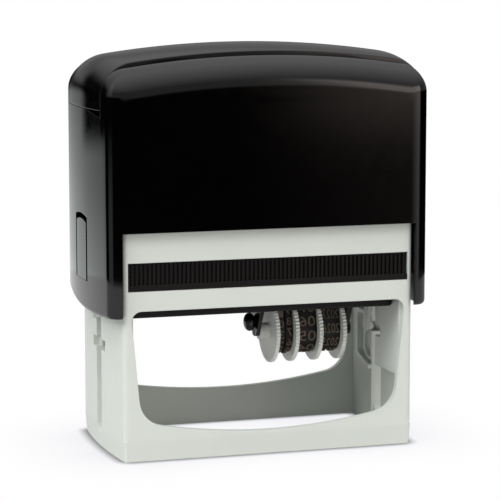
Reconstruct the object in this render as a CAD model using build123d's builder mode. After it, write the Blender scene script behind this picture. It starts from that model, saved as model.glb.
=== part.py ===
"""Self-inking date stamp, in millimetres.

X runs along the stamp's width, Y from its front (-Y) to its rear, and Z up from the surface it stands on.
The cover slides down over the base frame against a spring. It carries the platen on two pivot pins, and the
platen turns over on the way down, from the ink pad above it to the paper below it.
"""

import math
import os

from build123d import *

# Base frame
base_w = 90.0
base_d = 50.0
base_h = 71.0
base_bow = 1.4
base_corner_r = 1.6
foot_h = 6.0
foot_draft = 0.35
foot_corner_r = 0.9
end_wall = 2.8
face_wall = 2.0
deck_edge_r = 1.5
deck_rim = 3.0
deck_web = 3.0
deck_floor = 2.4
deck_pocket_r = 2.0

# Windows in the front and rear walls, each upper and lower corner set in from the end wall's inner face
window_top_z = 44.8
window_top_r = 3.0
window_low_r = 8.5
front_window_top_in = 0.8
front_window_low_in = 3.9
rear_window_top_in = 0.2
rear_window_low_in = 2.8
sill_front_z = 7.2
sill_rear_z = 11.0
sill_end_rise = 4.6

# Slots for the pivot pins in the end walls, and what guides the cam lever beside them
pin_slot_w = 5.8
pin_slot_low_z = 4.0
notch_half_d = 7.2
notch_low_z = 30.2
notch_h = 3.2
guide_plate_t = 2.0
guide_plate_low_z = 20.8
slot_rib_w = 1.0
track_lip_w = 1.2
outer_lip_h = 2.2
outer_lip_y = 14.0
outer_lip_low_z = 18.3
outer_lip_corner_z = 21.3
outer_lip_top_z = 36.5
outer_lip_r = 2.4
inner_lip_h = 1.0
inner_lip_y = 10.4
inner_lip_low_z = 20.9
inner_lip_top_z = 31.9
inner_lip_r = 4.4

# Ink cassette, which slides through the frame from front to rear, and its felt
cassette_side_gap = 0.25
cassette_face_in = 0.7
cassette_low_z = 50.9
cassette_h = 8.0
cassette_clear = 0.2
cassette_lip_h = 1.7
cassette_lip_out = 0.8
rib_pitch = 1.3
rib_w = 0.65
rib_out = 0.65
rib_top_gap = 0.4
felt_rim_w = 3.35
felt_rim_d = 3.9
felt_t = 4.4
felt_corner_r = 1.0
felt_face_z = 53.0
felt_clear = 0.15

# Platen, with its cushion and printing plate, stored face up under the felt
pad_gap = 2.6
platen_face_gap = 3.5
platen_hub_out = 0.3
platen_edge_gap = 0.4
platen_gap_half_d = 5.4
platen_corner_r = 1.5
platen_skin = 1.7
platen_skirt = 1.6
platen_low_chamfer = 0.5
platen_under = 1.3
platen_over = 3.6
cushion_rim_w = 1.8
cushion_rim_d = 1.2
cushion_t = 1.5
plate_over = 0.2
plate_t = 0.9
relief_t = 1.2
plate_corner_r = 1.0
frame_line_w = 0.9
frame_line_in = 1.0
text_bar_h = 2.2
text_bar_w = 7.4
text_bar_gap = 1.5
text_side_gap = 4.0
text_row_in = 3.3
text_row_pitch = 3.6
text_date_gap = 2.0

# Pivot: a pin at each end, through the yoke arm, the wall's slot and the platen's hub
journal_r = 2.0
collar_r = 2.7
pin_head_r = 3.4
pin_head_t = 1.1
pin_chamfer = 0.4
pin_end_gap = 0.4
running_fit = 0.06
slide_fit = 0.2
hub_r = 3.3
hub_len = 5.0
hub_wall = 0.8

# Cam lever, fixed to each end of the platen
lever_t = 1.3
lever_ring_r = 4.2
lever_w = 3.4
lug_reach = 10.8
lug_phase = 12.0
lug_r = 1.5
lug_len = 1.2
lug_end_gap = 1.2

# Date unit, hanging from the platen beside its middle
axle_drop = 10.45
axle_r = 1.5
axle_head_r = 2.3
axle_head_t = 0.9
disc_r = 9.8
disc_t = 1.2
disc_teeth = 56
disc_notch_r = 0.6
spool_r = 5.6
narrow_band_w = 2.4
wide_band_w = 6.3
wheel_gap = 0.15
band_t = 1.2
band_side_gap = 0.1
type_h = 0.7
bracket_t = 2.0
bracket_hub_gap = 2.2
bracket_left_gap = 2.3
bracket_right_gap = 0.8
bracket_foot_half_d = 2.4
bracket_below_axle = 1.2
bracket_shoulder_half_d = 8.0
bracket_neck_half_d = 5.6
bridge_half_d = 2.4
bridge_h = 3.6
bridge_corner_r = 0.8
date_window_side = 0.4
date_window_half_d = 4.5
neck_clear = 0.4
peg_r = 2.2
peg_len = 3.3
peg_above_axle = 3.05
peg_chamfer = 0.4

# Cover: bowed ends, an arched top, front and rear edges that roll over, and a cap saddled over it
cover_face_gap = 0.3
cover_end_gap = 3.5
cover_bow = 2.5
cover_wall = 1.7
cover_top_z = 119.05
cover_top_wall = 2.4
cover_corner_r = 8.5
cover_least_r = 2.2
arch_r = 290.0
top_roll_d = 7.0
top_roll_h = 9.4
side_roll_d = 3.3
side_roll_w = 5.6
end_step = 5.0
end_steps = 3
roll_steps = 7
hollow_roll_steps = 3
wing_front_z = 43.0
wing_low_y = -4.0
wing_low_z = 42.6
wing_rear_z = 46.5
wing_front_r = 1.6
wing_rear_r = 9.0
wing_edge_out = 0.5
panel_low_z = 68.0
skirt_ceiling_drop = 5.9
yoke_cover_gap = 0.2
cap_gap = 0.3
cap_bevel = 0.5
cap_rise = 2.95
cap_crown = 1.8
cap_corner_r = 11.0
cap_reach = 15.65
cap_parting = 0.2
pry_start_y = 7.0
pry_drop = 2.0
cap_end_t = 2.4
seat_drop = 0.6
cap_fit = 0.05

# Lock tongues, one in each end of the cover
tongue_half_d = 6.4
tongue_low_z = 51.9
tongue_top_z = 69.2
tongue_arch = 0.9
tongue_slot = 0.75
tongue_root_gap = 0.2
tongue_top_gap = 1.6

# Yoke under the cover, and the return spring between it and the frame
yoke_half_d = 9.6
yoke_foot_half_d = 4.4
yoke_arm_t = 1.15
yoke_bar_t = 3.2
yoke_fit = 0.2
yoke_side_gap = 0.1
yoke_outer_r = 6.3
yoke_below_pin = 3.7
spring_coil_r = 7.5
spring_wire_r = 0.65
spring_wire_sides = 6
spring_turns = 4
spring_end_gap = 0.05
spring_seat_z = 62.0
spring_well_r = 9.2
spring_stub_r = 5.8
spring_stub_h = 4.0
spring_stub_chamfer = 0.6

# Places that follow from the sizes above
face_over_pivot = platen_over + cushion_t + plate_t + relief_t
pivot_z = felt_face_z - pad_gap - face_over_pivot
stroke = pivot_z - face_over_pivot
platen_low_z = pivot_z - platen_under
platen_top_z = pivot_z + platen_over
axle_z = pivot_z - axle_drop
base_half_w = base_w / 2 + base_bow
end_inner_x = base_half_w - end_wall
cassette_w = 2 * (end_inner_x - cassette_side_gap)
cassette_d = base_d - 2 * cassette_face_in
rib_count = int(cassette_w / rib_pitch)
felt_w = cassette_w - 2 * felt_rim_w
felt_d = cassette_d - 2 * felt_rim_d
hub_face_x = end_inner_x - lug_end_gap - lug_len - lever_t
platen_w = 2 * (hub_face_x - platen_hub_out)
platen_edge_w = 2 * (end_inner_x - guide_plate_t - platen_edge_gap)
platen_d = base_d - 2 * (face_wall + platen_face_gap)
cushion_w = platen_w - 2 * cushion_rim_w
cushion_d = platen_d - 2 * cushion_rim_d
plate_w = cushion_w + 2 * plate_over
plate_d = cushion_d + 2 * plate_over
yoke_arm_x = base_half_w + slide_fit + yoke_side_gap
yoke_half_w = yoke_arm_x + yoke_arm_t
upper_hollow_half_w = yoke_half_w + yoke_cover_gap
cover_half_w = base_half_w + cover_end_gap + cover_wall
cover_half_d = base_d / 2 + cover_face_gap + cover_wall
cap_half_d = cover_half_d - top_roll_d
seat_half_w = cover_half_w - cap_end_t
wing_edge_x = base_w / 2 + wing_edge_out
slot_low_z = cassette_low_z - cassette_clear
slot_top_z = cassette_low_z + cassette_h + cassette_clear
bow_r = (cover_half_d**2 + cover_bow**2) / (2 * cover_bow)
bracket_right_x = hub_face_x - hub_len - bracket_hub_gap
disc_4_x = bracket_right_x - bracket_t - bracket_right_gap - disc_t
disc_3_x = disc_4_x - wheel_gap - wide_band_w - disc_t
disc_2_x = disc_3_x - wheel_gap - wide_band_w - disc_t
first_disc_x = disc_2_x - 2 * wheel_gap - 2 * narrow_band_w - disc_t
bracket_left_x = first_disc_x - bracket_left_gap - bracket_t
bridge_top_z = pivot_z + face_over_pivot - type_h - band_t - band_side_gap
spring_top_z = cover_top_z - cover_top_wall - yoke_fit - yoke_bar_t
seat_top_z = cover_top_z - seat_drop
cap_top_z = cover_top_z + cap_rise
cap_low_z = cover_top_z - cap_reach
skirt_ceiling_z = cap_low_z - skirt_ceiling_drop
seat_corner_r = cover_corner_r - seat_drop


def base_plan(inset, corner_r):
    """Draws the base's plan, set in by its draft: flat front and rear, bowed ends, rounded corners."""
    half_w = base_w / 2 - inset
    half_d = base_d / 2 - inset
    with BuildSketch(mode=Mode.PRIVATE) as plan:
        with BuildLine():
            Line((-half_w, -half_d), (half_w, -half_d))
            ThreePointArc((half_w, -half_d), (base_half_w - inset, 0), (half_w, half_d))
            Line((half_w, half_d), (-half_w, half_d))
            ThreePointArc((-half_w, half_d), (inset - base_half_w, 0), (-half_w, -half_d))
        make_face()
        fillet(vertices(), corner_r)
    add(plan.sketch)


def bowed_half_width(y, inset=0.0):
    """Half the cover's width at depth y, on the arc that its ends follow."""
    return cover_half_w - inset - bow_r + math.sqrt(bow_r**2 - y**2)


def roll(depth, edge_y, reach, drop):
    """How far a surface has dropped at a depth, on the quarter ellipse that ends at edge_y."""
    into = min(1.0, max(0.0, (depth - edge_y + reach) / reach))
    return drop * (1 - math.sqrt(1 - into**2))


def arch_outline(half_w, top_z, corner_r, low_z, mode=Mode.ADD):
    """Draws a front view of the cover: straight sides, a shallow arch on top and a round at each shoulder."""
    arch_z = top_z - arch_r
    round_x = half_w - corner_r
    round_z = arch_z + math.sqrt((arch_r - corner_r) ** 2 - round_x**2)
    reach = arch_r / (arch_r - corner_r)
    shoulder = (round_x * reach, arch_z + (round_z - arch_z) * reach)
    half_turn = math.atan2(round_z - arch_z, round_x) / 2
    middle = (round_x + corner_r * math.cos(half_turn), round_z + corner_r * math.sin(half_turn))
    with BuildSketch(mode=Mode.PRIVATE) as view:
        with BuildLine():
            Polyline((-half_w, round_z), (-half_w, low_z), (half_w, low_z), (half_w, round_z))
            ThreePointArc((half_w, round_z), middle, shoulder)
            ThreePointArc(shoulder, (0, top_z), (-shoulder[0], shoulder[1]))
            ThreePointArc((-shoulder[0], shoulder[1]), (-middle[0], middle[1]), (-half_w, round_z))
        make_face()
    add(view.sketch, mode=mode)


def cover_block(wall, top_wall, half_width, low_z, steps):
    """Makes the cover's bulk, set in by a wall, from half its width at each depth and an arched top."""
    edge_y = cover_half_d - wall
    roll_d = top_roll_d - wall
    turns = [math.pi / 2 * step / steps for step in range(steps + 1)]
    depths = [end_step * step for step in range(end_steps)]
    depths += [edge_y - roll_d + roll_d * math.sin(turn) for turn in turns]
    with BuildPart() as block:
        for y in [-depth for depth in reversed(depths[1:])] + depths:
            top_drop = roll(abs(y), edge_y, roll_d, top_roll_h - top_wall)
            side_drop = roll(abs(y), edge_y, side_roll_d - wall, side_roll_w - wall)
            corner_r = max(cover_corner_r - wall - top_drop, cover_least_r)
            with BuildSketch(Plane.XZ.offset(-y)):
                arch_outline(half_width(y) - side_drop, cover_top_z - top_wall - top_drop, corner_r, low_z)
        loft(ruled=True)
    return block.part


def tongue_outline(half_d, low_z, top_z):
    """Draws a lock tongue, or the opening round it, in the end of the cover."""
    with BuildSketch(mode=Mode.PRIVATE) as view:
        with BuildLine():
            Polyline((half_d, top_z), (half_d, low_z), (-half_d, low_z), (-half_d, top_z))
            ThreePointArc((-half_d, top_z), (0, top_z + tongue_arch), (half_d, top_z))
        make_face()
    add(view.sketch)


def lug_place(turn):
    """Where the cam lever's lug is, in depth and height, once the platen has turned by so many radians."""
    swing = turn + math.radians(lug_phase)
    fall = stroke * turn / math.pi
    return (lug_reach * math.sin(swing), pivot_z - fall - lug_reach * math.cos(swing))


def lip_outline(out_y, low_z, corner_z, top_z, corner_r, mode):
    """Draws the D-shaped edge of a cam track's lip, from the pin slot to the rear."""
    with BuildSketch(mode=Mode.PRIVATE) as view:
        with BuildLine():
            near_y = pin_slot_w / 2
            Polyline((near_y, low_z), (near_y, top_z), (out_y, top_z), (out_y, corner_z), close=True)
        make_face()
        fillet(vertices().group_by(Axis.X)[-1], corner_r)
    add(view.sketch, mode=mode)


def lip(out_y, low_z, corner_z, top_z, corner_r):
    """Draws a cam track's lip: its D-shaped edge, less the same set in by the lip's width."""
    lip_outline(out_y, low_z, corner_z, top_z, corner_r, Mode.ADD)
    w = track_lip_w
    lip_outline(out_y - w, low_z + w, corner_z + w, top_z - w, corner_r - w / 2, Mode.SUBTRACT)


def window_outline(top, low, sill_z):
    """Draws a window: leaning sides from its upper to its lower half width, and a sagging sill."""
    sill_end_z = sill_z + sill_end_rise
    with BuildSketch(mode=Mode.PRIVATE) as view:
        with BuildLine():
            Polyline((-low, sill_end_z), (-top, window_top_z), (top, window_top_z), (low, sill_end_z))
            ThreePointArc((low, sill_end_z), (0, sill_z), (-low, sill_end_z))
        make_face()
        fillet(vertices().group_by(Axis.Y)[-1], window_top_r)
        fillet(vertices().group_by(Axis.Y)[0], window_low_r)
    add(view.sketch)


# Base frame
with BuildPart() as base_frame:
    with BuildSketch():
        base_plan(foot_draft, foot_corner_r)
    with BuildSketch(Plane.XY.offset(foot_h)):
        base_plan(0.0, foot_corner_r)
    loft(ruled=True)
    with BuildSketch(Plane.XY.offset(foot_h)):
        base_plan(0.0, base_corner_r)
    extrude(amount=base_h - foot_h)
    fillet(base_frame.faces().sort_by(Axis.Z)[-1].edges(), deck_edge_r)
    # The bay that the platen turns over in, and the cassette's way through above it
    with BuildSketch():
        Rectangle(2 * end_inner_x, base_d - 2 * face_wall)
    extrude(amount=slot_low_z, mode=Mode.SUBTRACT)
    with BuildSketch(Plane.XZ):
        with Locations((0, (slot_low_z + slot_top_z) / 2)):
            Rectangle(cassette_w + 2 * cassette_clear, slot_top_z - slot_low_z)
    extrude(amount=base_d, both=True, mode=Mode.SUBTRACT)
    # Front and rear windows
    with BuildSketch(Plane.XZ.offset(base_d / 2 - face_wall)):
        window_outline(end_inner_x - front_window_top_in, end_inner_x - front_window_low_in, sill_front_z)
    extrude(amount=2 * face_wall, mode=Mode.SUBTRACT)
    with BuildSketch(Plane.XZ.offset(face_wall - base_d / 2)):
        window_outline(end_inner_x - rear_window_top_in, end_inner_x - rear_window_low_in, sill_rear_z)
    extrude(amount=-2 * face_wall, mode=Mode.SUBTRACT)
    # Spring well and cored pockets in the deck
    with BuildSketch(Plane.XY.offset(base_h)):
        Circle(spring_well_r)
    extrude(amount=spring_seat_z - base_h, mode=Mode.SUBTRACT)
    pocket_w = base_w / 2 - deck_rim - spring_well_r - deck_web
    with BuildSketch(Plane.XY.offset(base_h)):
        with Locations((base_w / 2 - deck_rim - pocket_w / 2, 0), (deck_rim + pocket_w / 2 - base_w / 2, 0)):
            RectangleRounded(pocket_w, base_d - 2 * deck_rim, deck_pocket_r)
    extrude(amount=slot_top_z + deck_floor - base_h, mode=Mode.SUBTRACT)
    # Guide plates before the slots, and behind them a rib and the two lips of the cam track
    slot_edge_y = pin_slot_w / 2
    wall_y = base_d / 2 - face_wall
    for side in (-1, 1):
        wall_plane = Plane.YZ.offset(side * end_inner_x)
        with BuildSketch(wall_plane):
            with Locations((-(wall_y + slot_edge_y) / 2, (guide_plate_low_z + slot_low_z) / 2)):
                Rectangle(wall_y - slot_edge_y, slot_low_z - guide_plate_low_z)
        extrude(amount=-side * guide_plate_t)
        with BuildSketch(wall_plane):
            lip(inner_lip_y, inner_lip_low_z, inner_lip_low_z, inner_lip_top_z, inner_lip_r)
            with Locations((slot_edge_y + slot_rib_w / 2, (pin_slot_low_z + slot_low_z) / 2)):
                Rectangle(slot_rib_w, slot_low_z - pin_slot_low_z)
        extrude(amount=-side * inner_lip_h)
        with BuildSketch(wall_plane):
            lip(outer_lip_y, outer_lip_low_z, outer_lip_corner_z, outer_lip_top_z, outer_lip_r)
        extrude(amount=-side * outer_lip_h)
    # Pin slots and the notches across them
    with BuildSketch(Plane.YZ):
        slot_span = pivot_z + pin_slot_w / 2 - pin_slot_low_z
        with Locations((0, pin_slot_low_z + slot_span / 2)):
            SlotOverall(slot_span, pin_slot_w, rotation=90)
        with Locations((0, notch_low_z + notch_h / 2)):
            Rectangle(2 * notch_half_d, notch_h)
    extrude(amount=base_w, both=True, mode=Mode.SUBTRACT)
base_frame.part.label = "base_frame"

# Ink cassette and felt
with BuildPart() as pad_tray:
    with BuildSketch(Plane.XY.offset(cassette_low_z)):
        Rectangle(cassette_w, cassette_d)
    extrude(amount=cassette_h)
    with BuildSketch(Plane.XY.offset(cassette_low_z)):
        RectangleRounded(felt_w + 2 * felt_clear, felt_d + 2 * felt_clear, felt_corner_r)
    extrude(amount=felt_face_z + felt_t + felt_clear - cassette_low_z, mode=Mode.SUBTRACT)
    for side in (-1, 1):
        face_plane = Plane.XZ.offset(side * cassette_d / 2)
        with BuildSketch(face_plane):
            with Locations((0, cassette_low_z + cassette_lip_h / 2)):
                Rectangle(cassette_w, cassette_lip_h)
        extrude(amount=side * cassette_lip_out)
        rib_low_z = cassette_low_z + cassette_lip_h
        rib_h = cassette_h - cassette_lip_h - rib_top_gap
        with BuildSketch(face_plane):
            with Locations((0, rib_low_z + rib_h / 2)):
                with GridLocations(rib_pitch, 1, rib_count, 1):
                    Rectangle(rib_w, rib_h)
        extrude(amount=side * rib_out)
pad_tray.part.label = "pad_tray"

with BuildPart() as ink_felt:
    with BuildSketch(Plane.XY.offset(felt_face_z)):
        RectangleRounded(felt_w, felt_d, felt_corner_r)
    extrude(amount=felt_t)
ink_felt.part.label = "ink_felt"

# Platen
window_left_x = bracket_left_x - date_window_side
window_right_x = bracket_right_x + date_window_side
window_mid_x = (window_left_x + window_right_x) / 2
window_w = window_right_x - window_left_x
neck_window_d = 2 * (bracket_neck_half_d + neck_clear)
with BuildPart() as platen:
    with BuildSketch(Plane.XY.offset(platen_low_z)):
        RectangleRounded(platen_edge_w, platen_d, platen_corner_r)
        for side in (-1, 1):
            with Locations((side * (platen_w + platen_edge_w) / 4, 0)):
                Rectangle((platen_edge_w - platen_w) / 2, 2 * platen_gap_half_d, mode=Mode.SUBTRACT)
    extrude(amount=platen_under + platen_over)
    chamfer(platen.faces().sort_by(Axis.Z)[0].edges(), platen_low_chamfer)
    with BuildSketch(Plane.XY.offset(platen_low_z)):
        RectangleRounded(platen_w - 2 * platen_skirt, platen_d - 2 * platen_skirt, platen_corner_r)
        with Locations((window_mid_x, 0)):
            Rectangle(window_w + 2 * platen_skirt, neck_window_d + 2 * platen_skirt, mode=Mode.SUBTRACT)
        with Locations((-platen_w / 4, 0), (-platen_w / 8, 0), (-3 * platen_w / 8, 0)):
            Rectangle(platen_skirt, platen_d, mode=Mode.SUBTRACT)
    extrude(amount=platen_under + platen_over - platen_skin, mode=Mode.SUBTRACT)
    for side in (-1, 1):
        with BuildSketch(Plane.YZ.offset(side * hub_face_x)):
            with Locations((0, pivot_z)):
                Circle(hub_r)
        extrude(amount=-side * hub_len)
        with BuildSketch(Plane.YZ.offset(side * hub_face_x)):
            with Locations((0, pivot_z)):
                Circle(journal_r + running_fit)
        extrude(amount=-side * (hub_len - hub_wall), mode=Mode.SUBTRACT)
    with BuildSketch(Plane.XY.offset(platen_low_z)):
        with Locations((window_mid_x, 0)):
            Rectangle(window_w, neck_window_d)
    extrude(amount=platen_under + platen_over, mode=Mode.SUBTRACT)
platen.part.label = "platen"

# Cushion and printing plate, open over the date bands
date_left_x = bracket_left_x + bracket_t - date_window_side
date_right_x = bracket_right_x - bracket_t + date_window_side
date_mid_x = (date_left_x + date_right_x) / 2
date_w = date_right_x - date_left_x
with BuildPart() as plate_cushion:
    with BuildSketch(Plane.XY.offset(platen_top_z)):
        RectangleRounded(cushion_w, cushion_d, plate_corner_r)
        with Locations((date_mid_x, 0)):
            RectangleRounded(date_w, 2 * date_window_half_d, plate_corner_r, mode=Mode.SUBTRACT)
    extrude(amount=cushion_t)
plate_cushion.part.label = "plate_cushion"

with BuildPart() as text_plate:
    plate_z = platen_top_z + cushion_t
    with BuildSketch(Plane.XY.offset(plate_z)):
        RectangleRounded(plate_w, plate_d, plate_corner_r)
        with Locations((date_mid_x, 0)):
            RectangleRounded(date_w, 2 * date_window_half_d, plate_corner_r, mode=Mode.SUBTRACT)
    extrude(amount=plate_t)
    with BuildSketch(Plane.XY.offset(plate_z + plate_t)):
        line_out_w = plate_w - 2 * frame_line_in
        line_out_d = plate_d - 2 * frame_line_in
        line_in_w = line_out_w - 2 * frame_line_w
        Rectangle(line_out_w, line_out_d)
        Rectangle(line_in_w, line_out_d - 2 * frame_line_w, mode=Mode.SUBTRACT)
        text_bar_pitch = text_bar_w + text_bar_gap
        text_bar_count = int((line_in_w - 2 * text_side_gap + text_bar_gap) / text_bar_pitch)
        first_row_y = plate_d / 2 - text_row_in
        text_row_count = 1 + int((first_row_y - date_window_half_d - text_date_gap) / text_row_pitch)
        for row in range(text_row_count):
            row_y = first_row_y - row * text_row_pitch
            with Locations((0, row_y), (0, -row_y)):
                with GridLocations(text_bar_pitch, 1, text_bar_count, 1):
                    Rectangle(text_bar_w, text_bar_h)
    extrude(amount=relief_t)
text_plate.part.label = "text_plate"

# Cam levers
with BuildPart() as cam_lever_right:
    lug_y, lug_z = lug_place(0.0)
    with BuildSketch(Plane.YZ.offset(hub_face_x)):
        with BuildLine(mode=Mode.PRIVATE) as spine:
            Line((0, pivot_z), (lug_y, lug_z))
        trace(spine.line, line_width=lever_w)
        with Locations((0, pivot_z)):
            Circle(lever_ring_r)
        with Locations((lug_y, lug_z)):
            Circle(lever_w / 2)
        with Locations((0, pivot_z)):
            Circle(collar_r + running_fit, mode=Mode.SUBTRACT)
    extrude(amount=lever_t)
    with BuildSketch(Plane.YZ.offset(hub_face_x + lever_t)):
        with Locations((lug_y, lug_z)):
            Circle(lug_r)
    extrude(amount=lug_len)
cam_lever_right.part.label = "cam_lever_right"

with BuildPart() as cam_lever_left:
    mirror(cam_lever_right.part, about=Plane.YZ)
cam_lever_left.part.label = "cam_lever_left"

# Pivot pins
with BuildPart() as pivot_pin_right:
    journal_len = hub_len - hub_wall - pin_end_gap
    with BuildSketch(Plane.YZ.offset(hub_face_x - journal_len)):
        with Locations((0, pivot_z)):
            Circle(journal_r)
    extrude(amount=journal_len + running_fit)
    with BuildSketch(Plane.YZ.offset(hub_face_x + running_fit)):
        with Locations((0, pivot_z)):
            Circle(collar_r)
    extrude(amount=yoke_half_w - hub_face_x)
    with BuildSketch(Plane.YZ.offset(yoke_half_w + running_fit)):
        with Locations((0, pivot_z)):
            Circle(pin_head_r)
    extrude(amount=pin_head_t)
    chamfer(pivot_pin_right.faces().sort_by(Axis.X)[-1].edges(), pin_chamfer)
pivot_pin_right.part.label = "pivot_pin_right"

with BuildPart() as pivot_pin_left:
    mirror(pivot_pin_right.part, about=Plane.YZ)
pivot_pin_left.part.label = "pivot_pin_left"

# Date bracket: two arms, the bridge that the bands print over, and a peg
with BuildPart() as date_bracket:
    for arm_x in (bracket_left_x, bracket_right_x - bracket_t):
        with BuildSketch(Plane.YZ.offset(arm_x)):
            with BuildLine():
                Polyline(
                    (-bracket_foot_half_d, axle_z - bracket_below_axle),
                    (-bracket_shoulder_half_d, platen_low_z),
                    (-bracket_neck_half_d, platen_low_z),
                    (-bracket_neck_half_d, platen_top_z - slide_fit),
                    (bracket_neck_half_d, platen_top_z - slide_fit),
                    (bracket_neck_half_d, platen_low_z),
                    (bracket_shoulder_half_d, platen_low_z),
                    (bracket_foot_half_d, axle_z - bracket_below_axle),
                    close=True,
                )
            make_face()
            with Locations((0, axle_z)):
                Circle(axle_r + running_fit / 2, mode=Mode.SUBTRACT)
        extrude(amount=bracket_t)
    with BuildSketch(Plane.YZ.offset(bracket_left_x + bracket_t)):
        with Locations((0, bridge_top_z - bridge_h / 2)):
            Rectangle(2 * bridge_half_d, bridge_h)
        fillet(vertices().group_by(Axis.Y)[-1], bridge_corner_r)
    extrude(amount=bracket_right_x - bracket_left_x - 2 * bracket_t)
    with BuildSketch(Plane.YZ.offset(bracket_left_x)):
        with Locations((0, axle_z + peg_above_axle)):
            Circle(peg_r)
    extrude(amount=-peg_len)
    chamfer(date_bracket.faces().sort_by(Axis.X)[0].edges(), peg_chamfer)
date_bracket.part.label = "date_bracket"

with BuildPart() as wheel_axle:
    with BuildSketch(Plane.YZ.offset(bracket_left_x)):
        with Locations((0, axle_z)):
            Circle(axle_r)
    extrude(amount=bracket_right_x - bracket_left_x + running_fit)
    with BuildSketch(Plane.YZ.offset(bracket_right_x + running_fit)):
        with Locations((0, axle_z)):
            Circle(axle_head_r)
    extrude(amount=axle_head_t)
wheel_axle.part.label = "wheel_axle"


def date_wheel(name, disc_x, spool_x, spool_w):
    """Makes a toothed finger disc with the spool that drives its band, which starts at spool_x."""
    with BuildPart() as wheel:
        with BuildSketch(Plane.YZ.offset(disc_x)):
            with Locations((0, axle_z)):
                Circle(disc_r)
                with PolarLocations(disc_r, disc_teeth):
                    RegularPolygon(disc_notch_r, 4, mode=Mode.SUBTRACT)
                Circle(axle_r + running_fit, mode=Mode.SUBTRACT)
        extrude(amount=disc_t)
        with BuildSketch(Plane.YZ.offset(spool_x)):
            with Locations((0, axle_z)):
                Circle(spool_r)
                Circle(axle_r + running_fit, mode=Mode.SUBTRACT)
        extrude(amount=spool_w)
    wheel.part.label = name
    return wheel


def date_band(name, x, width):
    """Makes a rubber band that runs round the spool below and over the bridge above."""
    with BuildPart() as band:
        for grow, mode in ((band_side_gap + band_t, Mode.ADD), (band_side_gap, Mode.SUBTRACT)):
            with BuildSketch(Plane.YZ.offset(x)):
                with Locations((0, axle_z)):
                    Circle(spool_r + grow)
                with Locations((0, bridge_top_z - bridge_h / 2)):
                    RectangleRounded(2 * (bridge_half_d + grow), bridge_h + 2 * grow, bridge_corner_r + grow)
                make_hull()
            extrude(amount=width, mode=mode)
    band.part.label = name
    return band


tens_x = first_disc_x + disc_t
units_x = tens_x + narrow_band_w + wheel_gap
month_x = disc_2_x + disc_t + wheel_gap
year_x = disc_3_x + disc_t + wheel_gap
wheels = [
    date_wheel("day_tens_wheel", first_disc_x, tens_x, narrow_band_w),
    date_wheel("day_units_wheel", disc_2_x, units_x, disc_2_x - units_x),
    date_wheel("month_wheel", disc_3_x, month_x, disc_3_x - month_x),
    date_wheel("year_wheel", disc_4_x, year_x, disc_4_x - year_x),
]
bands = [
    date_band("day_tens_band", tens_x + band_side_gap, narrow_band_w - 2 * band_side_gap),
    date_band("day_units_band", units_x + band_side_gap, narrow_band_w - 2 * band_side_gap),
    date_band("month_band", month_x + band_side_gap, wide_band_w - 2 * band_side_gap),
    date_band("year_band", year_x + band_side_gap, wide_band_w - 2 * band_side_gap),
]

# Cover shell
cover_bulk = cover_block(0.0, 0.0, bowed_half_width, wing_low_z - 1, roll_steps)
skirt_hollow = cover_block(
    cover_wall, cover_top_wall, lambda y: bowed_half_width(y, cover_wall), wing_low_z - 2, hollow_roll_steps
)
upper_hollow = cover_block(
    cover_wall, cover_top_wall, lambda y: upper_hollow_half_w, skirt_ceiling_z - 1, hollow_roll_steps
)
with BuildPart() as hollow:
    add(skirt_hollow)
    split(bisect_by=Plane.XY.offset(skirt_ceiling_z), keep=Keep.BOTTOM)
    add(upper_hollow)

# Room for the cap, whose lower edge opens towards the front so that a fingernail gets under it
parting_z = cap_low_z - cap_parting
with BuildPart() as cap_room:
    with BuildSketch(Plane.YZ):
        with BuildLine():
            Polyline(
                (-cap_half_d, parting_z - pry_drop),
                (-pry_start_y, parting_z),
                (cap_half_d, parting_z),
                (cap_half_d, cap_top_z),
                (-cap_half_d, cap_top_z),
                close=True,
            )
        make_face()
    extrude(amount=cover_half_w + 1, both=True)
    with BuildSketch(Plane.XZ):
        arch_outline(seat_half_w, seat_top_z, seat_corner_r, skirt_ceiling_z)
    extrude(amount=cap_half_d, both=True, mode=Mode.SUBTRACT)

with BuildPart() as cover_shell:
    add(cover_bulk)
    with BuildSketch(Plane.YZ):
        with BuildLine():
            wing_front = (-cover_half_d, wing_front_z)
            wing_rear = (cover_half_d, wing_rear_z)
            ThreePointArc(wing_front, (wing_low_y, wing_low_z), wing_rear)
            Polyline(wing_rear, (cover_half_d, cover_top_z + 1), (-cover_half_d, cover_top_z + 1), wing_front)
        make_face()
        fillet(vertices().sort_by(Axis.Y)[0], wing_front_r)
        fillet(vertices().group_by(Axis.X)[-1].sort_by(Axis.Y)[0], wing_rear_r)
    extrude(amount=cover_half_w, both=True, mode=Mode.INTERSECT)
    add(hollow.part, mode=Mode.SUBTRACT)
    add(cap_room.part, mode=Mode.SUBTRACT)
    # Open front and rear between the wings, below the panels
    with BuildSketch(Plane.XZ):
        with Locations((0, (wing_low_z + panel_low_z) / 2 - 1)):
            Rectangle(2 * wing_edge_x, panel_low_z - wing_low_z + 2)
    extrude(amount=cover_half_d + 1, both=True, mode=Mode.SUBTRACT)
    # Openings round the lock tongues
    with BuildSketch(Plane.YZ):
        slot_half_d = tongue_half_d + tongue_slot
        tongue_outline(slot_half_d, tongue_low_z - tongue_root_gap, tongue_top_z + tongue_top_gap)
    extrude(amount=cover_half_w + 1, both=True, mode=Mode.SUBTRACT)
cover_shell.part.label = "cover_shell"

with BuildPart() as lock_tongue_right:
    add(cover_bulk)
    add(skirt_hollow, mode=Mode.SUBTRACT)
    with BuildSketch(Plane.YZ):
        tongue_outline(tongue_half_d, tongue_low_z, tongue_top_z)
    extrude(amount=cover_half_w + 1, mode=Mode.INTERSECT)
lock_tongue_right.part.label = "lock_tongue_right"

with BuildPart() as lock_tongue_left:
    mirror(lock_tongue_right.part, about=Plane.YZ)
lock_tongue_left.part.label = "lock_tongue_left"

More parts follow.
